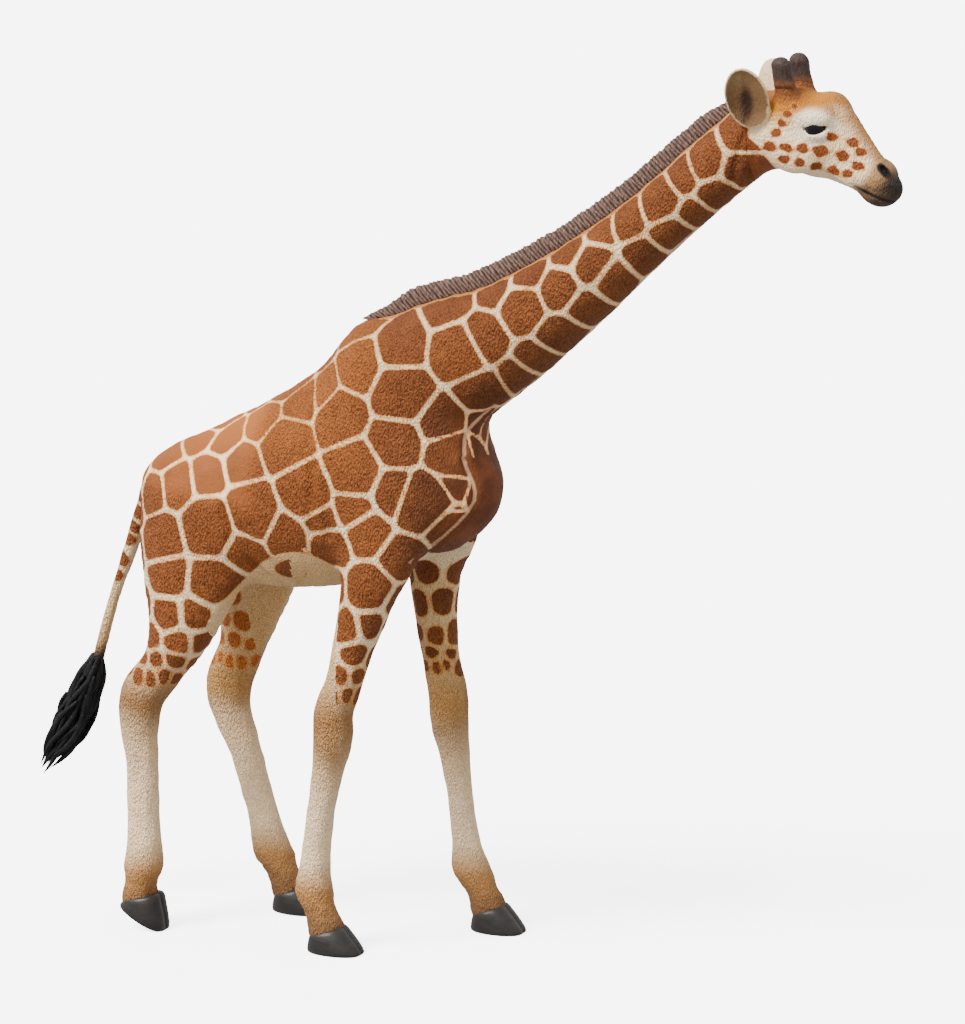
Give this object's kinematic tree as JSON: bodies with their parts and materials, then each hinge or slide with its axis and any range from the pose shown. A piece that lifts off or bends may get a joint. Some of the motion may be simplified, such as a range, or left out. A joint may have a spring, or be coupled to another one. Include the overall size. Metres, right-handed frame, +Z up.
{
  "type": "toy reticulated giraffe figure",
  "caption": "Moulded plastic figure of a reticulated giraffe, walking, with its neck held forward and a tufted tail.",
  "frame": {"origin": "middle of the bounding box's footprint, on the floor the hooves stand on", "axes": "+X the way the animal faces, +Y its left side, +Z up"},
  "size_m": [0.1804, 0.0342, 0.177],
  "materials": {
    "coat": "painted moulded plastic, brown patches on cream, finely textured",
    "horn": "dark brown painted plastic, ochre at the base",
    "mane": "grey-brown painted plastic with moulded hair ribs",
    "hoof": "dark grey-brown painted plastic, slightly glossy",
    "tuft": "black painted plastic with moulded locks",
    "eye": "glossy black paint"
  },
  "bodies": {
    "root": {"trunk": "coat", "neck": "coat", "head": "coat", "jaw": "coat", "ear_right": "coat", "ear_left": "coat", "eye_right": "eye", "eye_left": "eye", "ossicone_right": "horn", "ossicone_left": "horn", "mane": "mane", "tail": "coat", "tail_tuft": "tuft", "fore_right_upper_leg": "coat", "fore_right_lower_leg": "coat", "fore_left_upper_leg": "coat", "fore_left_lower_leg": "coat", "hind_right_upper_leg": "coat", "hind_right_lower_leg": "coat", "hind_left_upper_leg": "coat", "hind_left_lower_leg": "coat", "hoof_fore_right_right_claw": "hoof", "hoof_fore_right_left_claw": "hoof", "hoof_fore_left_right_claw": "hoof", "hoof_fore_left_left_claw": "hoof", "hoof_hind_right_right_claw": "hoof", "hoof_hind_right_left_claw": "hoof", "hoof_hind_left_right_claw": "hoof", "hoof_hind_left_left_claw": "hoof"}
  },
  "joints": []
}
